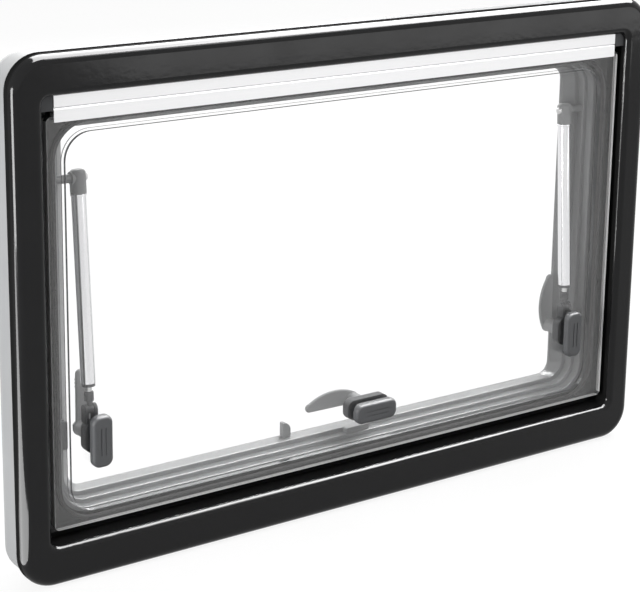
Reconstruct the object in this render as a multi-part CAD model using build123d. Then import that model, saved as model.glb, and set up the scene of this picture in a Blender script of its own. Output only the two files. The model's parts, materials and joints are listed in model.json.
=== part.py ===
"""Top-hung caravan window: a double acrylic sash in a dark outer frame, clamped by a pale inner frame.

Millimetres. X runs to the right seen from outside, +Y into the vehicle, +Z up. The origin is the middle of the
window on the plane where the outer frame's flange lies against the vehicle's wall.
"""

import os

from build123d import *

# Wall cut-out and outer frame
cut_out_width = 700.0
cut_out_height = 450.0
flange_overlap = 21.0  # how far the flange covers the wall round the cut-out
flange_depth = 15.0
frame_corner_radius = 33.0
front_edge_round = 9.0
side_face = 30.0  # width of the flange's face at the sides
end_face = 37.6  # the same at top and bottom
reveal_corner_radius = 10.0
reveal_foot_radius = 3.0  # at the bottom of the recess, where its walls meet in a crease
reveal_edge_round = 6.5
side_draft = 0.8  # how far the recess narrows towards its floor at each side
sill_fall = 4.0  # how far the sill under the sash drops from the floor of the recess to its front edge
neck_gap = 1.5  # between the neck and the cut-out's edge
lip_front = 4.0
lip_back = 10.0

# Inner frame
clamp_gap = 3.0  # the two frames drawn together on a thin wall
inner_frame_inset = 3.0
inner_frame_depth = 41.0
inner_frame_round = 18.0
inner_frame_corner_radius = 28.0
inner_frame_wall = 5.0
room_edge_round = 4.0
tread_depth = 9.0  # the reveal steps inwards to the room in three treads, the last of which slopes
tread_step_side = 5.0
tread_step_bottom = 4.5
tread_step_top = 3.0
tread_edge_round = 1.2
room_narrowing_side = 30.0  # from the lip's opening to the room's
room_narrowing_bottom = 15.9
room_narrowing_top = 12.0
room_corner_radius = 10.0

# Sash
sheet_front = -6.5
outer_sheet_thickness = 3.0
inner_sheet_thickness = 3.0
sheet_edge_round = 0.8
pan_thickness = 2.5
pan_step = 3.0  # how far the middle of the inner sheet stands off its rim
pan_edge_round = 2.0
sash_side_gap = 6.0
sill_channel = 13.0
sash_corner_radius = 5.0
rim_side = 17.0
rim_bottom = 9.5
rim_top = 9.8
pan_corner_radius = 28.0
sash_clearance = 5.0
seal_inset = 0.7
seal_width = 3.5
seal_gap = 0.3
seal_round = 1.2

# Hinge rails along the top edge
rail_front = -8.5
upper_rail_height = 10.6
lower_rail_height = 13.0
bead_radius = 2.5
bead_clearance = 0.3
bead_drop = 2.7  # from the upper rail's front edge down to the hinge axis
bead_neck = 4.5  # thickness of the web between the bead and the lower rail
hook_mouth = 1.5  # how far the upper rail's front edge is cut back over the bead
rail_wall = 2.0
rail_front_leg = 2.0
hinge_cap_width = 12.0
hinge_cap_gap = 1.0
sash_top_drop = 6.0  # from the hinge axis down to the sheets' top edge
upper_rail_foot = 1.3  # from the hinge axis up to the upper rail's underside

# Latches
latch_rise = 69.9  # above the pan's lower edge
latch_inset = 2.5  # from the stay's axis towards the middle of the window
centre_latch_x = 23.0
centre_latch_rise = 35.9
plate_width = 21.0
plate_length = 50.0
plate_thickness = 7.0
plate_end_radius = 8.0
plate_round = 3.5
groove_length = 27.0
groove_width = 1.1
groove_depth = 0.5
groove_spacing = 4.6
base_depth = 11.0
base_back_round = 2.5
spindle_diameter = 8.0
spindle_clearance = 0.1
spindle_floor = 2.0  # left under the spindle's bore in the latch base
spindle_gap = 1.0  # between the spindle's end and that floor
hub_diameter = 15.0
lever_front = 30.0
lever_thickness = 3.7
lever_edge_round = 1.5
grip_length = 57.0  # from the hub's axis to the tip
grip_bulge = 13.0  # how far its curved side stands out from the hub's axis
grip_tip_width = 9.0
grip_waist = 5.0  # from the axis to the straight side, above the claw
claw_top = 4.0  # above the hub's axis
lever_heel = 8.0  # radius of the lever's round lower end, where the claw is
heel_start = -30  # degrees, where the curved side meets that round end

# Stays
stay_inset = 3.0  # from the room's opening to the stay's axis
stay_top_y = 23.5
stay_foot_y = 8.5
stay_top_drop = 42.8  # from the room's opening down to the upper pivot
stay_foot_rise = 26.0  # from the latch's axis up to the lower pivot
tube_diameter = 14.0
tube_wall = 1.2
stay_cap_diameter = 15.0
stay_cap_length = 22.0
cap_top_round = 4.0
cap_boss_radius = 6.0
cap_wall = 2.0
collar_length = 3.0
collar_diameter = 12.6
rod_diameter = 6.0
rod_clearance = 0.1
rod_showing = 22.0  # from the collar to the lower pivot when the sash is shut
rod_hidden = 100.0  # length of rod inside the tube when the sash is shut
rod_end_diameter = 9.0
rod_end_length = 17.0  # from its top to the lower pivot
rod_end_neck = 7.5  # from its lower shoulder to the pivot
rod_end_bore = 7.0
neck_diameter = 5.2
rod_end_round = 1.4
eye_radius = 4.0
eye_thickness = 6.0
ear_gap = 0.4
ear_thickness = 2.6
ear_radius = 5.0
ear_root = 2.0  # how far the ears go down into the latch base
base_top_drop = 11.0  # from the stay's lower pivot down to the latch base's top
pivot_pin_diameter = 5.0
pivot_clearance = 0.1
pin_root = 1.0  # how far the pin starts inside its bracket
pin_end_gap = 3.0  # between the pin's end and the end of its bore in the cap
bracket_radius = 4.0
face_gap = 0.3  # between faces that turn against each other

# Keepers on the inner frame's reveal and the small catch on its sill
seat_gap = 0.3  # under what is fixed to the reveal
keeper_margin = 1.0  # the keepers stand between the edges of the middle tread
keeper_length = 28.0
keeper_height = 6.0
keeper_round = 2.0
catch_x = -55.0
catch_width = 9.0
catch_tip = 1.0  # width of its top
catch_setback = 4.0  # from the room's face
catch_depth = 6.0
catch_rise = 14.0  # above the room's opening

rim_slack = 0.01  # for picking out edges by their place

# Worked-out places
frame_half_width = cut_out_width / 2 + flange_overlap
frame_half_height = cut_out_height / 2 + flange_overlap
room_face = clamp_gap + inner_frame_depth
sheet_back = sheet_front + outer_sheet_thickness
rim_back = sheet_back + inner_sheet_thickness
pan_back = rim_back + pan_step
base_back = pan_back + base_depth
hinge_y = rail_front + bead_radius
hinge_z = frame_half_height - end_face - upper_rail_height - bead_drop
rail_foot_z = hinge_z + bead_radius - lower_rail_height


class Outline:
    """A rounded rectangle across the window: half width, lower and upper edge, corner radius."""

    def __init__(self, half_width, low, high, radius):
        self.half_width, self.low, self.high, self.radius = half_width, low, high, radius

    def grown(self, by):
        return Outline(self.half_width + by, self.low - by, self.high + by, self.radius + by)

    def inside(self, side, bottom, top, radius):
        return Outline(self.half_width - side, self.low + bottom, self.high - top, radius)

    def face(self, y):
        shape = RectangleRounded(2 * self.half_width, self.high - self.low, self.radius)
        return Pos(0, y, (self.low + self.high) / 2) * (Plane.XZ * shape)

    def slab(self, y_from, y_to):
        return extrude(self.face(y_from), amount=y_from - y_to)

    def passes(self, point):
        """Whether the outline's rim runs through a point, seen along Y."""
        across = abs(point.X) - self.half_width + self.radius
        up = abs(point.Z - (self.low + self.high) / 2) - (self.high - self.low) / 2 + self.radius
        out = Vector(across, up).length if min(across, up) > 0 else max(across, up)
        return abs(out - self.radius) < rim_slack


frame_outline = Outline(frame_half_width, -frame_half_height, frame_half_height, frame_corner_radius)
neck_outline = frame_outline.grown(-flange_overlap - neck_gap)
reveal = frame_outline.inside(side_face, end_face, end_face, reveal_corner_radius)
reveal_floor = reveal.inside(side_draft, sill_fall, 0, reveal_foot_radius)
sash = Outline(
    reveal.half_width - sash_side_gap, reveal.low + sill_channel, hinge_z - sash_top_drop, sash_corner_radius
)
pan = Outline(sash.half_width - rim_side, sash.low + rim_bottom, rail_foot_z - rim_top, pan_corner_radius)
lip_opening = pan.grown(sash_clearance)
treads = [
    lip_opening.inside(
        n * tread_step_side, n * tread_step_bottom, n * tread_step_top, lip_opening.radius - n * tread_step_side
    )
    for n in (1, 2, 3)
]
tread_fronts = [lip_back + n * tread_depth for n in (0, 1, 2)]
room_opening = lip_opening.inside(
    room_narrowing_side, room_narrowing_bottom, room_narrowing_top, room_corner_radius
)
inner_outline = frame_outline.grown(-inner_frame_inset)
inner_outline.radius = inner_frame_corner_radius

stay_x = room_opening.half_width - stay_inset
latch_x = stay_x - latch_inset
latch_z = pan.low + latch_rise
centre_latch_z = pan.low + centre_latch_rise
stay_foot_z = latch_z + stay_foot_rise
stay_top = Vector(-stay_x, stay_top_y, room_opening.high - stay_top_drop)
stay_foot = Vector(-stay_x, stay_foot_y, stay_foot_z)
stay_down = (stay_foot - stay_top).normalized()
stay_length = (stay_foot - stay_top).length
tube_top = stay_cap_length - stay_cap_diameter / 2
tube_end = stay_length - rod_showing - collar_length
base_top = stay_foot_z - base_top_drop


def edges_at(shape, y, outline=None):
    """The edges of a shape on the plane at y, or only those that lie on an outline's rim."""
    found = shape.edges().filter_by_position(Axis.Y, y - rim_slack, y + rim_slack)
    return found if outline is None else [edge for edge in found if outline.passes(edge @ 0.5)]


def cylinder_x(radius, x_from, x_to, y, z):
    """A round bar along X."""
    circle = Plane(origin=(x_from, y, z), x_dir=(0, 1, 0), z_dir=(1, 0, 0)) * Circle(radius)
    return extrude(circle, amount=x_to - x_from)


def cylinder_y(radius, x, z, y_from, y_to):
    """A round bar along Y."""
    return extrude(Pos(x, y_from, z) * (Plane.XZ * Circle(radius)), amount=y_from - y_to)


def box_between(low, high):
    size = [b - a for a, b in zip(low, high)]
    middle = [(a + b) / 2 for a, b in zip(low, high)]
    return Pos(*middle) * Box(*size)


def mirrored(shape, side):
    """Pieces are drawn for the left side; the right ones are their mirror images."""
    return shape if side == "left" else mirror(shape, about=Plane.YZ)


def recess():
    """The room in front of the lip that the sash and the rails lie in: drafted sides and a sloping sill."""
    return loft([reveal.face(-flange_depth), reveal_floor.face(lip_front)])


def make_outer_frame():
    body = frame_outline.slab(-flange_depth, 0)
    body = fillet(edges_at(body, -flange_depth), front_edge_round)
    body += neck_outline.slab(0, lip_back)
    body -= recess()
    body -= lip_opening.slab(lip_front, lip_back)
    return fillet(edges_at(body, -flange_depth, reveal), reveal_edge_round)


def room_passage(grow):
    """The stepped way through the inner frame, from the lip to the room, grown all round."""
    first, second, third = (tread.grown(grow) for tread in treads)
    second_front, third_front = (front + grow for front in tread_fronts[1:])
    passage = first.slab(lip_back, second_front) + second.slab(second_front, third_front)
    return passage + loft([third.face(third_front), room_opening.grown(grow).face(room_face)])


def make_inner_frame():
    body = inner_outline.slab(clamp_gap, room_face)
    body = fillet(edges_at(body, room_face), inner_frame_round)
    neck_room = inner_outline.grown(-inner_frame_wall)
    body -= neck_room.slab(clamp_gap, lip_back)
    pocket = inner_outline.grown(-inner_frame_round / 2)
    pocket_floor = room_face - 2 * inner_frame_wall
    body -= pocket.slab(lip_back, pocket_floor) - room_passage(inner_frame_wall)
    body -= room_passage(0)
    for front, tread in zip(tread_fronts, treads):
        body = fillet(edges_at(body, front, tread), tread_edge_round)
    return fillet(edges_at(body, room_face, room_opening), room_edge_round)


def make_frame_seal():
    front = rim_back + seal_gap
    inner = lip_opening.grown(seal_inset)
    body = inner.grown(seal_width).slab(front, lip_front) - inner.slab(front, lip_front)
    return fillet(edges_at(body, front), seal_round)


def make_outer_sheet():
    body = sash.slab(sheet_front, sheet_back)
    return fillet(edges_at(body, sheet_front), sheet_edge_round)


def make_inner_sheet():
    body = sash.slab(sheet_back, rim_back)
    body += pan.slab(rim_back, pan_back)
    body = fillet(edges_at(body, pan_back), pan_edge_round)
    hollow = pan.grown(-pan_thickness)
    return body - hollow.slab(sheet_back, pan_back - pan_thickness)


def along_rail(section):
    """A section drawn in the Y-Z plane, run along the hinge between the end caps."""
    half_length = reveal.half_width - hinge_cap_width - hinge_cap_gap
    return extrude(Pos(-half_length, 0, 0) * (Plane.YZ * section), amount=2 * half_length)


def rectangle_between(y_from, z_from, y_to, z_to):
    return Pos((y_from + y_to) / 2, (z_from + z_to) / 2) * Rectangle(abs(y_to - y_from), abs(z_to - z_from))


def make_upper_rail():
    """Hooks over the bead of the lower rail; its back is an open channel under the top of the recess."""
    section = rectangle_between(rail_front, hinge_z + upper_rail_foot, lip_front, reveal.high)
    section -= Pos(hinge_y, hinge_z) * Circle(bead_radius + bead_clearance)
    section -= rectangle_between(rail_front, hinge_z, rail_front + hook_mouth, hinge_z + bead_drop)
    section -= rectangle_between(hinge_y + bead_radius, hinge_z, lip_front, reveal.high - rail_wall)
    return along_rail(section)


def make_lower_rail():
    """The bead that turns in the upper rail, and the clamp over the sheets' top edge."""
    section = Pos(hinge_y, hinge_z) * Circle(bead_radius)
    section += rectangle_between(rail_front, sash.high, rail_front + bead_neck, hinge_z)
    section += rectangle_between(rail_front, sash.high, rim_back, hinge_z - bead_radius - bead_clearance)
    section += rectangle_between(rail_front, rail_foot_z, rail_front + rail_front_leg, sash.high)
    return along_rail(section)


def make_hinge_cap():
    """Fills the rounded corner of the recess beside the end of the upper rail."""
    low = (-reveal.half_width, rail_front, hinge_z)
    high = (hinge_cap_width - reveal.half_width, lip_front, reveal.high)
    return box_between(low, high) & recess()


def along_stay(radius, start, end):
    """A round bar on the stay's axis, between two distances down from its upper pivot."""
    plane = Plane(origin=stay_top + stay_down * start, x_dir=(1, 0, 0), z_dir=stay_down)
    return extrude(plane * Circle(radius), amount=end - start)


def make_stay_cap():
    half = stay_cap_diameter / 2
    body = along_stay(half, -half, tube_top)
    top_rim = body.edges().sort_by(Axis.Z)[-1]
    body = fillet(top_rim, cap_top_round)
    body += cylinder_x(cap_boss_radius, -stay_x - half, -stay_x, stay_top.Y, stay_top.Z)
    bore = pivot_pin_diameter / 2 + pivot_clearance
    return body - cylinder_x(bore, -stay_x - half, -stay_x + half - cap_wall, stay_top.Y, stay_top.Z)


def make_stay_tube():
    bore = tube_diameter / 2 - tube_wall
    return along_stay(tube_diameter / 2, tube_top, tube_end) - along_stay(bore, tube_top, tube_end)


def make_stay_collar():
    body = along_stay(collar_diameter / 2, tube_end, tube_end + collar_length)
    return body - along_stay(rod_diameter / 2 + rod_clearance, tube_end, tube_end + collar_length)


def make_stay_rod():
    return along_stay(rod_diameter / 2, tube_end - rod_hidden, stay_length - rod_end_length + rod_end_bore)


def make_rod_end():
    """The moulded end on the rod: a sleeve, a slim neck and the eye that stands between the latch base's ears."""
    top, shoulder = stay_length - rod_end_length, stay_length - rod_end_neck
    sleeve = along_stay(rod_end_diameter / 2, top, shoulder)
    sleeve = fillet(sleeve.edges().filter_by(GeomType.CIRCLE), rod_end_round)
    half = eye_thickness / 2
    eye = cylinder_x(eye_radius, -stay_x - half, -stay_x + half, stay_foot.Y, stay_foot.Z)
    bore = along_stay(rod_diameter / 2 + rod_clearance, top, top + rod_end_bore + rod_clearance)
    return sleeve + along_stay(neck_diameter / 2, shoulder - rod_end_round, stay_length) + eye - bore


def make_stay_bracket():
    """A post from the reveal to the stay's cap, with the pin that the cap swings on."""
    half = stay_cap_diameter / 2
    face = -stay_x - half - face_gap
    post = cylinder_x(bracket_radius, -frame_half_width, face, stay_top.Y, stay_top.Z) & room_passage(-seat_gap)
    pin_end = -stay_x + half - cap_wall - pin_end_gap
    return post + cylinder_x(pivot_pin_diameter / 2, face - pin_root, pin_end, stay_top.Y, stay_top.Z)


def latch_body(length, y_from, y_to):
    """A latch's plate or base standing upright, with rounded ends."""
    shape = RectangleRounded(plate_width, length, plate_end_radius)
    return extrude(Pos(0, y_from, 0) * (Plane.XZ * shape), amount=y_from - y_to)


def make_latch_plate():
    """The plate on the outside of the pane, with two shallow grooves along its face."""
    front = sheet_front - plate_thickness
    body = fillet(edges_at(latch_body(plate_length, front, sheet_front), front), plate_round)
    for sign in (-1, 1):
        slot = RectangleRounded(groove_width, groove_length, groove_width / 2 - groove_depth / 4)
        x = sign * groove_spacing / 2
        body -= extrude(Pos(x, front, 0) * (Plane.XZ * slot), amount=-groove_depth)
    return body


def make_latch_base(length):
    """The body on the room side of the pane that the lever's spindle turns in."""
    body = latch_body(length, pan_back, base_back)
    body = fillet(edges_at(body, base_back), base_back_round)
    bore = spindle_diameter / 2 + spindle_clearance
    return body - cylinder_y(bore, 0, 0, pan_back + spindle_floor, base_back)


def make_stay_ear(sign):
    """One of the two ears on a side latch's base that the rod's eye stands between."""
    inner = eye_thickness / 2 + ear_gap
    near, far = sorted((-stay_x + sign * inner, -stay_x + sign * (inner + ear_thickness)))
    ear = cylinder_x(ear_radius, near, far, stay_foot.Y, stay_foot.Z)
    web_low = (near, stay_foot.Y - ear_radius, base_top - ear_root)
    return ear + box_between(web_low, (far, stay_foot.Y + ear_radius, stay_foot.Z))


def make_lever():
    """Grip up, claw to the left: a leaf whose outer side is one curve, on a hub with its spindle."""
    tip = grip_tip_width / 2
    with_tip = [(-tip, grip_length - tip), (0, grip_length), (tip, grip_length - tip)]
    heel = CenterArc((0, 0), lever_heel, heel_start, -180 - heel_start)
    outline = ThreePointArc(*with_tip)
    outline += ThreePointArc(with_tip[2], (grip_bulge, grip_length / 3), heel @ 0)
    outline += heel
    above_claw = (-grip_waist, claw_top + lever_heel - grip_waist)
    outline += Polyline(heel @ 1, (-lever_heel, claw_top), above_claw, with_tip[0])
    leaf = extrude(Pos(0, lever_front, 0) * (Plane.XZ * make_face(outline)), amount=-lever_thickness)
    back = lever_front + lever_thickness
    leaf = fillet(edges_at(leaf, lever_front) + edges_at(leaf, back), lever_edge_round)
    hub = cylinder_y(hub_diameter / 2, 0, 0, base_back + face_gap, lever_front + lever_thickness / 2)
    spindle = cylinder_y(spindle_diameter / 2, 0, 0, pan_back + spindle_floor + spindle_gap, lever_front)
    return leaf + hub + spindle


def make_side_keeper():
    """The nose on the reveal's middle tread that a side latch's claw turns behind."""
    inside = -treads[1].half_width + keeper_height
    half = keeper_length / 2
    low = (-frame_half_width, tread_fronts[1] + keeper_margin, latch_z - half)
    block = box_between(low, (inside, tread_fronts[2] - keeper_margin, latch_z + half))
    return fillet(block.edges().filter_by(Axis.Y).group_by(Axis.X)[-1], keeper_round) & room_passage(-seat_gap)


def make_centre_keeper():
    top = treads[1].low + keeper_height
    half = keeper_length / 2
    low = (centre_latch_x - half, tread_fronts[1] + keeper_margin, -frame_half_height)
    block = box_between(low, (centre_latch_x + half, tread_fronts[2] - keeper_margin, top))
    return fillet(block.edges().filter_by(Axis.Y).group_by(Axis.Z)[-1], keeper_round) & room_passage(-seat_gap)


def make_sill_catch():
    """A small fin on the sill: one side upright, the other a quarter round."""
    back = room_face - catch_setback
    low = (catch_x - catch_width / 2, back - catch_depth, -frame_half_height)
    block = box_between(low, (catch_x + catch_width / 2, back, room_opening.low + catch_rise))
    upright = block.edges().filter_by(Axis.Y).group_by(Axis.Z)[-1].sort_by(Axis.X)
    return fillet(upright[-1], catch_width - catch_tip) & room_passage(-seat_gap)


os.makedirs("parts", exist_ok=True)
parts = {
    "outer_frame": make_outer_frame(),
    "inner_frame": make_inner_frame(),
    "frame_seal": make_frame_seal(),
    "upper_hinge_rail": make_upper_rail(),
    "lower_hinge_rail": make_lower_rail(),
    "outer_sheet": make_outer_sheet(),
    "inner_sheet": make_inner_sheet(),
}
side_base = Pos(-latch_x, 0, latch_z) * make_latch_base(2 * (base_top - latch_z))
side_base += [make_stay_ear(-1), make_stay_ear(1)]
left_pieces = {
    "hinge_cap": make_hinge_cap(),
    "stay_bracket": make_stay_bracket(),
    "stay_cap": make_stay_cap(),
    "stay_tube": make_stay_tube(),
    "stay_collar": make_stay_collar(),
    "stay_rod": make_stay_rod(),
    "rod_end": make_rod_end(),
    "latch_plate": Pos(-latch_x, 0, latch_z) * make_latch_plate(),
    "latch_base": side_base,
    "latch_lever": Pos(-latch_x, 0, latch_z) * make_lever(),
    "keeper": make_side_keeper(),
}
for side in ("left", "right"):
    for name, shape in left_pieces.items():
        parts[side + "_" + name] = mirrored(shape, side)

# The centre latch lies along the lower edge, its grip to the left and its claw down
turned = Pos(centre_latch_x, 0, centre_latch_z) * Rot(0, -90, 0)
parts["centre_latch_plate"] = turned * make_latch_plate()
parts["centre_latch_base"] = turned * make_latch_base(plate_length)
parts["centre_latch_lever"] = turned * make_lever()
parts["centre_keeper"] = make_centre_keeper()
parts["sill_catch"] = make_sill_catch()

for name, shape in parts.items():
    export_step(shape, "parts/" + name + ".step")
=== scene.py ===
# %% [markdown]
# # A caravan window, dressed for its portrait
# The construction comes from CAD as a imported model: every frame, rail, sheet and lever is already at its
# real size. This script gives those pieces their finishes, adds the small fittings that are easier to
# model by hand, and lights and frames the window as a catalogue would. Lengths are metres, +X is right
# seen from outside, -Y is outside, and +Z is up.

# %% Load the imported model
import json
import math

import bmesh
import bpy
from mathutils import Matrix, Vector


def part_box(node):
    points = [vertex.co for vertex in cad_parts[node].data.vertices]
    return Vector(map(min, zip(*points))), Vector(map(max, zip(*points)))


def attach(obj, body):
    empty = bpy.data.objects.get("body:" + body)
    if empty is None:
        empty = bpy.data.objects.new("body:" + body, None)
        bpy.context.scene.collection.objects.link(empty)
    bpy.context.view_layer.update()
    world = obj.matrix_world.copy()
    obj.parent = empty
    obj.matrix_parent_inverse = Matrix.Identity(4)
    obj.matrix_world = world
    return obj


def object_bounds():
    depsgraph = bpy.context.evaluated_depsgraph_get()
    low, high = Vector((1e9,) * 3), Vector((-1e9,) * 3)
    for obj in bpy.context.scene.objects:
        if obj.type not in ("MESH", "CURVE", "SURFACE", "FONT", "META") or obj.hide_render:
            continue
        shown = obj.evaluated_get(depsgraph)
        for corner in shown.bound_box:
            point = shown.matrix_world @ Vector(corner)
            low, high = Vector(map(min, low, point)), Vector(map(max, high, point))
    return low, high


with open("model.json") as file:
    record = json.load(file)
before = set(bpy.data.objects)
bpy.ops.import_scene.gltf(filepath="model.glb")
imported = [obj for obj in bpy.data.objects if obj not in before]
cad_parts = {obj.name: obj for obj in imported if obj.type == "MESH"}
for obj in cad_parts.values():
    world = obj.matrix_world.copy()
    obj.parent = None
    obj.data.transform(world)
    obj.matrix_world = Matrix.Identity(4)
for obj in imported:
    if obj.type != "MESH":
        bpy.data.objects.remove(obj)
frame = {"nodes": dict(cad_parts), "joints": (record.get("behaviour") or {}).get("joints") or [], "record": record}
cad_low, cad_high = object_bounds()
print("nodes:", len(frame["nodes"]), "box:", tuple(cad_low), tuple(cad_high))

# %% [markdown]
# ## The camera
# The window stands a little turned, seen from its left and from above. A long lens from just under two
# metres keeps the converging edges gentle, and a small downward shift brings the upright edges closer to
# parallel, as a view camera does. A camera that tracks a point would be quicker to set up, but here its
# axes are built from three angles, so that each can be corrected by itself.

# %% Camera
camera_place = (-1.0398, -1.4299, 0.5210)
turn, tilt, roll = (math.radians(angle) for angle in (34.907, -14.320, 0.811))
forward = Vector((math.sin(turn) * math.cos(tilt), math.cos(turn) * math.cos(tilt), math.sin(tilt)))
level = Vector((math.cos(turn), -math.sin(turn), 0))
above = level.cross(forward)
right = level * math.cos(roll) + above * math.sin(roll)
up = above * math.cos(roll) - level * math.sin(roll)
camera_axes = Matrix((right, up, -forward)).transposed()

lens = bpy.data.cameras.new("portrait_lens")
lens.sensor_width, lens.lens, lens.shift_y = 36, 105.06, -0.15
camera = bpy.data.objects.new("portrait_camera", lens)
bpy.context.scene.collection.objects.link(camera)
camera.matrix_world = Matrix.Translation(camera_place) @ camera_axes.to_4x4()
bpy.context.scene.camera = camera
print("camera at", camera_place, "lens", lens.lens)

# %% [markdown]
# ## Shader arithmetic
# A finish is a few patterns mixed by arithmetic. Adding and linking each Math node by hand would bury the
# idea, so a small class wraps a socket and lets the arithmetic be written as Python: `1 - mask * 0.5` adds
# the two Math nodes it needs. Every other node comes from one method, `node`.

# %% A socket that can be calculated with
class Signal:
    """One output of a material's nodes."""

    def __init__(self, tree, socket):
        self.tree, self.socket = tree, socket

    def node(self, kind, settings, inputs, output=0):
        """A new node: its settings are made first, then its sockets are filled or linked."""
        made = self.tree.nodes.new(kind)
        for name, value in settings.items():
            setattr(made, name, value)
        for name, value in inputs.items():
            if isinstance(value, Signal):
                self.tree.links.new(value.socket, made.inputs[name])
            else:
                made.inputs[name].default_value = value
        return Signal(self.tree, made.outputs[output])

    def maths(self, operation, *values):
        return self.node("ShaderNodeMath", {"operation": operation}, dict(enumerate(values)))

    def __add__(self, other):
        return self.maths("ADD", self, other)

    def __sub__(self, other):
        return self.maths("SUBTRACT", self, other)

    def __rsub__(self, other):
        return self.maths("SUBTRACT", other, self)

    def __mul__(self, other):
        return self.maths("MULTIPLY", self, other)

    __radd__, __rmul__ = __add__, __mul__

    def held(self):
        """The same value, kept between 0 and 1."""
        return self.maths("MAXIMUM", self.maths("MINIMUM", self, 1), 0)

    def size(self):
        """The same value without its sign."""
        return self.maths("ABSOLUTE", self)

    def span(self, low, high):
        """A number between two numbers, by this value."""
        return low + (high - low) * self

    def blend(self, start, end):
        """A colour between two colours, by this value."""
        settings = {"data_type": "RGBA", "clamp_factor": True}
        return self.node("ShaderNodeMix", settings, {0: self, 6: start, 7: end}, 2)

    def mix(self, first, second):
        """A shader between two shaders, by this value."""
        return self.node("ShaderNodeMixShader", {}, {0: self, 1: first, 2: second})

    def along(self, axis):
        """One coordinate of a vector: 0, 1 or 2 for X, Y or Z."""
        return self.node("ShaderNodeSeparateXYZ", {}, {"Vector": self}, axis)


print("Signal adds Math nodes for +, - and *")

# %% [markdown]
# ## A finish
# Each finish is one material around the Principled shader. Its patterns follow the piece's own coordinates,
# so they stay on the piece when it moves, and need no unwrapping.

# %% A material with its patterns
class Finish:
    """A material with its shader, and the place and direction on the piece that its patterns follow."""

    def __init__(self, name, **uniform):
        self.material = bpy.data.materials.new(name)
        self.material.use_nodes = True
        tree = self.material.node_tree
        self.shader = tree.nodes["Principled BSDF"]
        self.own = Signal(tree, self.shader.outputs[0])
        coordinates = tree.nodes.new("ShaderNodeTexCoord").outputs
        self.place, self.normal = Signal(tree, coordinates["Object"]), Signal(tree, coordinates["Normal"])
        for socket, value in uniform.items():
            self.shader.inputs[socket].default_value = value

    def facing(self):
        """1 where the surface faces the front or the back, 0 where it faces a side."""
        return self.normal.along(1).size()

    def noise(self, scale, detail=2.0, stretch=(1, 1, 1)):
        spread = self.place.node("ShaderNodeMapping", {}, {"Vector": self.place, "Scale": stretch})
        return spread.node("ShaderNodeTexNoise", {}, {"Vector": spread, "Scale": scale, "Detail": detail})

    def feed(self, name, signal):
        self.material.node_tree.links.new(signal.socket, self.shader.inputs[name])

    def bump(self, height, strength, distance):
        inputs = {"Height": height, "Strength": strength, "Distance": distance}
        self.feed("Normal", height.node("ShaderNodeBump", {}, inputs))

    def cover(self, shader):
        """Puts a shader made from the finish's own on the surface in its place."""
        tree = self.material.node_tree
        tree.links.new(shader.socket, tree.nodes["Material Output"].inputs["Surface"])


def grey(value):
    return (value, value, value, 1)


finishes = {}
print("Finish makes a material")

# %% [markdown]
# ## Black outer frame
# The outer frame is a glossy moulding. Its colour is nearly black, so what the eye sees is the room
# mirrored in its rounded edges. A perfect mirror would look like glass, so a faint ripple in the surface
# and a slow change of gloss disturb it. The narrow sides that run back to the wall are matt, which draws a
# dark line round the gloss. The surface's own direction tells the sides from the front, so the line stays
# on the piece from wherever it is seen.

# %% Black gloss moulding
black = Finish("black_gloss_moulding", IOR=1.33)
deep_black, soft_black = (0.003, 0.003, 0.0035, 1), (0.006, 0.006, 0.0065, 1)
black.feed("Base Color", black.noise(scale=35).blend(deep_black, soft_black))
black.feed("Roughness", black.noise(scale=22, detail=3).span(0.06, 0.13))
black.bump(black.noise(scale=140), strength=0.10, distance=0.0004)
matt_reach, matt_fade, matt_tone = 1.3, 3, 0.012
matt_side = (matt_reach - matt_fade * black.facing()).held()
matt = black.place.node("ShaderNodeBsdfDiffuse", {}, {"Color": grey(matt_tone)})
black.cover(matt_side.mix(black.own, matt))
finishes["black_frame"] = black.material
print("made", black.material.name)

# %% [markdown]
# ## Pale inner frame
# The clamping frame behind is a lightly grained plastic in a pale grey. Modelled grain would cost millions
# of faces, so it is a fine noise in the bump; the colour drifts a little, as moulded plastic does.

# %% Pale grained plastic
pale = Finish("pale_grained_plastic", IOR=1.46)
pale_dark, pale_light = (0.240, 0.245, 0.250, 1), (0.285, 0.290, 0.295, 1)
pale.feed("Base Color", pale.noise(scale=14, detail=4).blend(pale_dark, pale_light))
pale.feed("Roughness", pale.noise(scale=60).span(0.26, 0.36))
pale.bump(pale.noise(scale=900, detail=3), strength=0.22, distance=0.0003)
finishes["pale_frame"] = pale.material
print("made", pale.material.name)

# %% [markdown]
# ## Seal
# The seal between the frames is rubber, dull and a little dusty: a dark grey that varies, high roughness
# and a pore-fine bump.

# %% Rubber
rubber = Finish("seal_rubber", IOR=1.5)
rubber.feed("Base Color", rubber.noise(scale=120).blend(grey(0.018), grey(0.035)))
rubber.feed("Roughness", rubber.noise(scale=300).span(0.6, 0.8))
rubber.bump(rubber.noise(scale=700), strength=0.25, distance=0.0003)
finishes["seal_rubber"] = rubber.material
print("made", rubber.material.name)

# %% [markdown]
# ## Metals
# The hinge rails are anodised extrusions with fine lines along their length, the stay tubes are drawn
# bright, and the rods are ground steel. One noise makes all three: stretched along a piece it becomes
# drawn lines, squeezed it becomes grinding marks.

# %% Anodised rails, bright tubes and ground rods
rail = Finish("anodised_rail", Metallic=0.85)
lines = rail.noise(scale=60, detail=3, stretch=(0.04, 30, 30))
rail.feed("Base Color", lines.blend((0.92, 0.92, 0.93, 1), (0.98, 0.98, 0.985, 1)))
rail.feed("Roughness", lines.span(0.32, 0.42))
rail.bump(lines, strength=0.08, distance=0.0002)
finishes["rail_aluminium"] = rail.material

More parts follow.
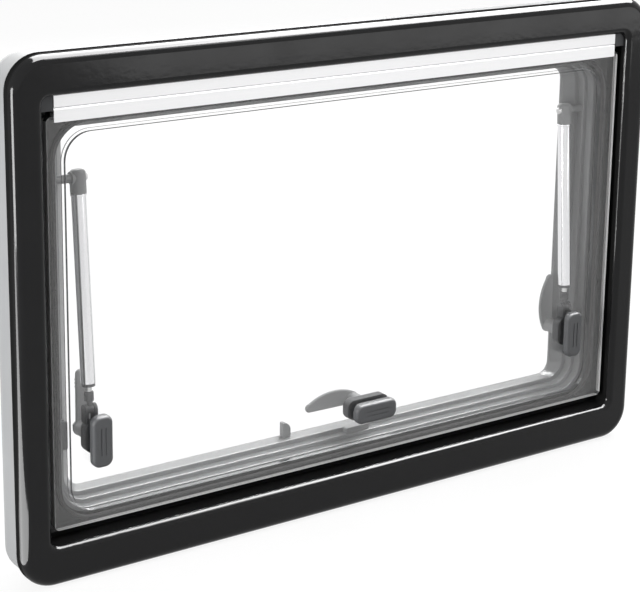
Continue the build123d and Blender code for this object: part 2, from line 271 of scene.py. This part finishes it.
tube = Finish("bright_tube", Metallic=1.0)
drawn = tube.noise(scale=90, stretch=(12, 12, 0.05))
tube.feed("Base Color", drawn.blend((0.88, 0.88, 0.90, 1), (0.96, 0.96, 0.97, 1)))
tube.feed("Roughness", drawn.span(0.09, 0.16))
finishes["tube_aluminium"] = tube.material

rod = Finish("ground_rod", Metallic=1.0)
ground = rod.noise(scale=300, stretch=(0.3, 0.3, 6))
rod.feed("Base Color", ground.blend(grey(0.55), grey(0.68)))
rod.feed("Roughness", ground.span(0.22, 0.37))
finishes["rod_steel"] = rod.material
print("made", rail.material.name, tube.material.name, rod.material.name)

# %% [markdown]
# ## Fittings
# Plates, bases and brackets share one dark grey moulded plastic. The levers and the caps of the stays are
# moulded in a lighter smoke grey with the same fine grain, so the two differ in colour and gloss alone.

# %% Dark fittings and lighter grips
fitting = Finish("dark_fitting_plastic", IOR=1.48)
fitting_dark, fitting_light = (0.056, 0.058, 0.062, 1), (0.076, 0.078, 0.082, 1)
fitting.feed("Base Color", fitting.noise(scale=40, detail=3).blend(fitting_dark, fitting_light))
fitting.feed("Roughness", fitting.noise(scale=250).span(0.40, 0.55))
fitting.bump(fitting.noise(scale=1100), strength=0.20, distance=0.0002)
finishes["grey_plastic"] = fitting.material

grip = Finish("smoke_grip_plastic", IOR=1.48)
grip_dark, grip_light = (0.325, 0.330, 0.335, 1), (0.375, 0.380, 0.385, 1)
grip.feed("Base Color", grip.noise(scale=40, detail=3).blend(grip_dark, grip_light))
grip.feed("Roughness", grip.noise(scale=250).span(0.36, 0.50))
grip.bump(grip.noise(scale=1100), strength=0.18, distance=0.0002)
print("made", fitting.material.name, grip.material.name)

# %% [markdown]
# ## Acrylic
# The two sheets are clear. True refraction through two thin sheets is slow and noisy, so the sheet is a
# clear surface with a thin veil of mirrored light, which grows towards grazing angles. The formed step of
# the inner sheet bends light away and looks dark. That darkness is painted shade: a grey put where the
# surface's own direction turns sideways. The outer sheet's sawn edge is frosted, and the light that the
# sheet carries out at that edge is painted on it as a pale glow. Its place on the piece finds it: a hair's
# breadth along the two sides and the foot.

# %% Where the step and the sawn edge are
acrylic = Finish("clear_acrylic", IOR=1.49, Roughness=0.03)
step = (1 - acrylic.facing()).held()
sheet_low, sheet_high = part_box("outer_sheet")
# The pale edge is partly the frosted cut and partly painted light: a glow for the light that the sheet carries out
# at its edge.
sawn_width, sawn_fade = 0.0006, 2500
past_side = acrylic.place.along(0).size() - (sheet_high.x - sawn_width)
past_foot = (sheet_low.z + sawn_width) - acrylic.place.along(2)
sawn = (sawn_fade * past_side.maths("MAXIMUM", past_side, past_foot)).held()
print("sawn edge from", round(sheet_high.x - sawn_width, 4), "outwards")

# %% Clear acrylic
# The grey on the step is painted shade: the clear sheet looks dark there only because its step bends the light
# away.
clear_tone, painted_step_shade, frosted_and_glow_tone = grey(1.0), (0.06, 0.063, 0.066, 1), grey(0.7)
acrylic.feed("Base Color", sawn.blend(step.blend(clear_tone, painted_step_shade), frosted_and_glow_tone))
acrylic.feed("Metallic", (1 - step) * (1 - sawn))
face_on, at_grazing, falloff, unevenness, at_step, at_sawn = 0.027, 0.9, 5, 0.006, 1.4, 0.45
grazing = step.node("ShaderNodeLayerWeight", {}, {"Blend": 0.5}, 1)
veil = face_on + at_grazing * grazing.maths("POWER", grazing, falloff)
# On the sawn edge the veil is thickened as well, for the same painted glow.
veil = veil + unevenness * acrylic.noise(scale=6) + at_step * step + at_sawn * sawn
clear = acrylic.place.node("ShaderNodeBsdfTransparent", {}, {"Color": clear_tone})
acrylic.cover(veil.held().mix(clear, acrylic.own))
finishes["tinted_acrylic"] = acrylic.material
print("made", acrylic.material.name)

# %% [markdown]
# ## Dressing the CAD pieces
# The record says which finish each piece has, so one loop puts the finishes on. The lighter grey isn't in
# the record, so the pieces that have it are known by the ends of their names.

# %% Put the finishes on
lighter = ("latch_lever", "stay_cap")
for subpart in frame["record"]["subparts"]:
    node = subpart["node"]
    slots = frame["nodes"][node].data.materials
    slots.clear()
    slots.append(grip.material if node.endswith(lighter) else finishes[subpart["material_slot"]])

# %% [markdown]
# ## Small fittings
# Screw caps, spindle screws, pivot buttons and tube rings are small round pieces. A plain disc would do
# from afar, but the rims and dimples are what catches the light, so each is shaped once from a round bar
# standing on the origin, as on a lathe, and then copied to its places.

# %% Choosing and shaping
def round_bar(name, radius, height):
    """A short upright bar on the origin, opened for shaping."""
    bpy.ops.object.select_all(action="DESELECT")
    bpy.ops.mesh.primitive_cylinder_add(
        vertices=40, radius=radius, depth=height, location=(0, 0, height / 2))
    bpy.ops.object.transform_apply(location=True, rotation=True, scale=True)
    piece = bpy.context.object
    piece.name = name
    bpy.ops.object.mode_set(mode="EDIT")
    return piece


def choose(piece, kind, test):
    """Selects the faces or edges whose middle passes a test, and nothing else."""
    bpy.ops.mesh.select_mode(type=kind)
    bpy.ops.mesh.select_all(action="DESELECT")
    body = bmesh.from_edit_mesh(piece.data)
    for part in body.faces if kind == "FACE" else body.edges:
        middle = sum((corner.co for corner in part.verts), Vector()) / len(part.verts)
        part.select_set(test(middle))
    bmesh.update_edit_mesh(piece.data)


def round_top(piece, height, rim):
    """Bevels the rim of a bar's upper end."""
    choose(piece, "EDGE", lambda middle: middle.z > 0.9 * height)
    bpy.ops.mesh.bevel(offset=rim, segments=4, affect="EDGES")


def choose_top(piece, height):
    choose(piece, "FACE", lambda middle: middle.z > 0.999 * height)


def inset_and_move(inset, rise):
    """Insets the chosen faces and moves what is inside along the bar."""
    bpy.ops.mesh.inset(thickness=inset)
    bpy.ops.transform.translate(value=(0, 0, rise))


def close_up():
    """Ends the shaping: faces outwards, smooth where the surface bends gently."""
    bpy.ops.mesh.select_all(action="SELECT")
    bpy.ops.mesh.normals_make_consistent(inside=False)
    bpy.ops.object.mode_set(mode="OBJECT")
    bpy.ops.object.shade_smooth_by_angle(angle=math.radians(35))


print("shaping helpers ready")

# %% [markdown]
# ### Putting fittings in place
# A copy gets its own mesh, and its place is applied to that mesh, so that its patterns and its motion start
# from the same origin as the CAD pieces. The joints of the record say where levers and stays turn.

# %% Placing
def pointing(direction):
    """Axes that turn an upright piece along a direction."""
    return Vector(direction).to_track_quat("Z", "Y").to_matrix()


def set_down(pattern, name, place, axes, body, slot, finish=None):
    """A copy of a fitting with its foot at a place, turned to some axes and riding on a body."""
    piece = pattern.copy()
    piece.data = pattern.data.copy()
    piece.name = piece.data.name = name
    bpy.context.scene.collection.objects.link(piece)
    piece.matrix_world = Matrix.Translation(place) @ axes.to_4x4()
    bpy.ops.object.select_all(action="DESELECT")
    piece.select_set(True)
    bpy.context.view_layer.objects.active = piece
    bpy.ops.object.transform_apply(location=True, rotation=True, scale=True)
    piece.data.materials.clear()
    piece.data.materials.append(finish or finishes[slot])
    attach(piece, body)


to_room = Vector((0, 1, 0))
joints = {joint["name"]: joint for joint in frame["joints"]}
print("joints:", sorted(joints))

# %% [markdown]
# ### Screw caps
# On the room side the clamping frame is screwed through to the outer one, and a pressed-in cap hides every
# screw. The cap has a soft rim, a slight dome and a dimple in the middle where the moulding was fed: a
# bevel and two insets.

# %% Screw caps round the room face
cap_radius, cap_height, cap_rim = 0.0055, 0.0022, 0.0009
dome_inset, dome_rise, dimple_inset, dimple_depth = 0.0018, 0.0003, 0.0014, 0.0004
cap = round_bar("screw_cap_pattern", cap_radius, cap_height)
round_top(cap, cap_height, cap_rim)
choose_top(cap, cap_height)
inset_and_move(dome_inset, dome_rise)
inset_and_move(dimple_inset, -dimple_depth)
close_up()

cap_x, cap_z, cap_seat = 0.338, 0.212, 0.0012
cap_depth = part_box("inner_frame")[1].y - cap_seat
cap_places = [(side * cap_x, z) for side in (-1, 1) for z in (-0.13, 0.0, 0.13)]
cap_places += [(x, side * cap_z) for side in (-1, 1) for x in (-0.28, -0.14, 0.0, 0.14, 0.28)]
for number, (x, z) in enumerate(cap_places, 1):
    name = f"screw_cap_{number:02d}"
    set_down(cap, name, (x, cap_depth, z), pointing(to_room), "frame", "pale_frame")
bpy.data.objects.remove(cap)
print("screw caps:", len(cap_places))

# %% [markdown]
# ### Spindle screws
# A slotted screw in the room side of each lever holds it on its spindle. A Boolean could cut the slot, but
# slicing the head with two planes and pushing the strip between them in keeps the mesh clean.

# %% Slotted screws on the levers
head_radius, head_height, head_rim, head_seat = 0.0042, 0.0020, 0.0010, 0.0004
slot_half, slot_depth = 0.0005, 0.0009
screw = round_bar("spindle_screw_pattern", head_radius, head_height)
round_top(screw, head_height, head_rim)
for side in (-1, 1):
    choose_top(screw, head_height)
    bpy.ops.mesh.bisect(plane_co=(side * slot_half, 0, 0), plane_no=(1, 0, 0))
choose(screw, "FACE", lambda middle: middle.z > 0.999 * head_height and abs(middle.x) < slot_half)
bpy.ops.mesh.extrude_region_move(TRANSFORM_OT_translate={"value": (0, 0, -slot_depth)})
close_up()

levers = ("left", "right", "centre")
for side in levers:
    place = Vector(joints[f"{side}_lever_turn"]["pos_m"])
    place.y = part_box(f"{side}_latch_lever")[1].y - head_seat
    set_down(screw, f"{side}_spindle_screw", place, pointing(to_room), f"{side}_lever", "rod_steel")
bpy.data.objects.remove(screw)
print("spindle screws:", len(levers))

# %% [markdown]
# ### Pivot buttons and tube rings
# Each stay's pivot ends in a riveted button on the inner side of its cap. A thin ring is rolled round the
# tube's mouth under the cap: a bar with its two ends inset, opened, and bridged through gives a true ring.

# %% Shape a button
button_radius, button_height, button_rim = 0.0037, 0.0040, 0.0012
rivet_inset, rivet_rise = 0.0010, 0.0003
button = round_bar("pivot_button_pattern", button_radius, button_height)
round_top(button, button_height, button_rim)
choose_top(button, button_height)
inset_and_move(rivet_inset, rivet_rise)
close_up()
print("button faces:", len(button.data.polygons))

# %% Shape a ring
ring_radius, ring_wall, ring_height, ring_rim = 0.0077, 0.0010, 0.0020, 0.0004
hoop = round_bar("tube_ring_pattern", ring_radius, ring_height)
choose(hoop, "EDGE", lambda middle: abs(middle.z - ring_height / 2) > 0.4 * ring_height)
bpy.ops.mesh.bevel(offset=ring_rim, segments=3, affect="EDGES")
choose(hoop, "FACE", lambda middle: middle.xy.length < 0.1 * ring_radius)
bpy.ops.mesh.inset(thickness=ring_wall - ring_rim)
bpy.ops.mesh.delete(type="FACE")
choose(hoop, "EDGE", lambda middle: middle.xy.length < ring_radius - 0.9 * ring_wall)
bpy.ops.mesh.bridge_edge_loops()
close_up()
print("ring faces:", len(hoop.data.polygons))

# %% Put them on the stays
button_start, ring_start = 0.0047, 0.0146
stays = {"left": Vector((1, 0, 0)), "right": Vector((-1, 0, 0))}
for side, inwards in stays.items():
    stay = f"{side}_stay"
    pivot = Vector(joints[f"{stay}_swing"]["pos_m"])
    down = Vector(joints[f"{stay}_slide"]["axis"])
    button_place, ring_place = pivot + inwards * button_start, pivot + down * ring_start
    set_down(button, f"{side}_pivot_button", button_place, pointing(inwards), stay, "rod_steel")
    set_down(hoop, f"{side}_tube_ring", ring_place, pointing(down), stay, "tube_aluminium")
bpy.data.objects.remove(button)
bpy.data.objects.remove(hoop)
print("pivot buttons and tube rings:", len(stays), "each")

# %% [markdown]
# ### Grip ribs
# Three small ribs near the tip of each lever, on the room side, give the fingers a hold. One rib is a bar
# with its upright and upper edges rounded; it lies across the lever, so the centre one's ribs stand
# upright.

# %% Ribs on the levers
rib_size, rib_rim, rib_seat = Vector((0.0090, 0.0016, 0.0014)), 0.0006, 0.0004
bpy.ops.object.select_all(action="DESELECT")
bpy.ops.mesh.primitive_cube_add(size=1, location=(0, 0, rib_size.z / 2))
rib = bpy.context.object
rib.scale = rib_size
bpy.ops.object.transform_apply(location=True, rotation=True, scale=True)
bpy.ops.object.mode_set(mode="EDIT")
choose(rib, "EDGE", lambda middle: middle.z > 0.4 * rib_size.z)
bpy.ops.mesh.bevel(offset=rib_rim, segments=4, affect="EDGES")
close_up()

rib_distances = (0.040, 0.0435, 0.047)
for side in levers:
    along = Vector((-1, 0, 0)) if side == "centre" else Vector((0, 0, 1))
    rib_axes = Matrix((along.cross(to_room), along, to_room)).transposed()
    start = Vector(joints[f"{side}_lever_turn"]["pos_m"])
    start.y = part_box(f"{side}_latch_lever")[1].y - rib_seat
    for number, distance in enumerate(rib_distances, 1):
        name, place = f"{side}_grip_rib_{number}", start + along * distance
        set_down(rib, name, place, rib_axes, f"{side}_lever", "grey_plastic", grip.material)
bpy.data.objects.remove(rib)
print("grip ribs:", len(levers) * len(rib_distances))

# %% [markdown]
# ## Floor and background
# The background is plain white, and the floor is too where the camera, gloss or glass shows it, while it
# keeps a soft shadow. Lighting both until they are white would wash out the window, so they glow only for
# the rays that show them.

# %% Floor and world
def white_rays(tree, mirrored):
    """1 for rays from the camera and through glass, a share for rays from gloss, 0 for the rest."""
    path = tree.nodes.new("ShaderNodeLightPath").outputs
    camera_ray, glossy_ray, clear_ray = (
        Signal(tree, path[f"Is {kind} Ray"]) for kind in ("Camera", "Glossy", "Transmission"))
    return (camera_ray + mirrored * glossy_ray + clear_ray).held()


floor_size, floor_gap, floor_mirrored, floor_glow = 14, 0.0005, 0.8, 0.85
bpy.ops.object.select_all(action="DESELECT")
bpy.ops.mesh.primitive_plane_add(size=floor_size, location=(0, 0, cad_low.z - floor_gap))
floor = bpy.context.object
floor.name = "studio_floor"
paint = Finish("studio_floor_paint", Roughness=0.9)
paint.feed("Base Color", paint.noise(scale=3).blend(grey(0.12), grey(0.14)))
seen = white_rays(paint.material.node_tree, floor_mirrored)
glow = seen.node("ShaderNodeEmission", {}, {"Color": grey(1.0), "Strength": seen * floor_glow})
paint.cover(glow.node("ShaderNodeAddShader", {}, {0: paint.own, 1: glow}))
floor.data.materials.append(paint.material)

soft_fill, sky_mirrored = 0.2, 1
world = bpy.data.worlds.new("white_studio")
bpy.context.scene.world = world
world.use_nodes = True
sky = world.node_tree.nodes["Background"].inputs
strength = white_rays(world.node_tree, sky_mirrored).span(soft_fill, 1)
world.node_tree.links.new(strength.socket, sky["Strength"])
sky["Color"].default_value = grey(1.0)
print("floor at", round(cad_low.z - floor_gap, 4))

# %% [markdown]
# ## Light
# Large lamps light the window evenly: one overhead, a strip at the left, one behind for the room face and
# a weak strip low in front. A photographer adds cards that only show as bright lines along black edges.
# Here a panel overhead and a card on the floor at the left do that. They give no diffuse light, and light
# linking keeps them off the pane and the metals, which would mirror them as plain white.

# %% Lamps
def softbox(name, place, aim, size, watts):
    """A rectangular lamp at a place, facing a point."""
    lamp = bpy.data.lights.new(name, "AREA")
    lamp.shape, lamp.size, lamp.size_y, lamp.energy = "RECTANGLE", size[0], size[1], watts
    holder = bpy.data.objects.new(name, lamp)
    bpy.context.scene.collection.objects.link(holder)
    holder.location = place
    holder.rotation_euler = (Vector(aim) - Vector(place)).to_track_quat("-Z", "Y").to_euler()
    holder.visible_camera = False
    return holder


softbox("overhead_softbox", place=(1.8, -0.35, 2.35), aim=(0, 0, 0), size=(4.2, 1.0), watts=88)
softbox("left_strip", place=(-1.5, -0.30, -0.1), aim=(-0.371, 0, 0), size=(0.50, 0.9), watts=36)
softbox("rear_softbox", place=(0.2, 2.2, 1.1), aim=(0, 0, 0), size=(3.0, 1.6), watts=32)
softbox("low_front_strip", place=(1.9, -2.3, -0.23), aim=(1.9, -2.3, 1), size=(2.0, 0.5), watts=8)
print("lamps:", sorted(light.name for light in bpy.data.lights))

# %% Panel and card for the gloss
def mirror_only_in(holder, nodes):
    """Lets a lamp show in the gloss of some pieces, light nothing, and show in nothing else."""
    holder.visible_diffuse = False
    pieces = bpy.data.collections.new(f"mirrors_{holder.name}")
    for node in nodes:
        pieces.objects.link(frame["nodes"][node])
    holder.light_linking.receiver_collection = pieces


panel = softbox("gloss_panel", place=(1.8, -0.1, 2.35), aim=(1.8, -0.1, 0), size=(4.2, 3.0), watts=1190)
plates = tuple(f"{side}_latch_plate" for side in levers)
mirror_only_in(panel, ("outer_frame", "inner_frame") + plates)
card = softbox(
    "floor_card", place=(-0.95, -0.03, -0.24), aim=(-0.95, -0.03, 1), size=(1.1, 0.30), watts=15)
mirror_only_in(card, ("outer_frame",))
print("gloss only:", panel.name, card.name)

# %% [markdown]
# ## The view
# The Standard view shows colours about as they are written.

# %% View transform
bpy.context.scene.view_settings.view_transform = "Standard"
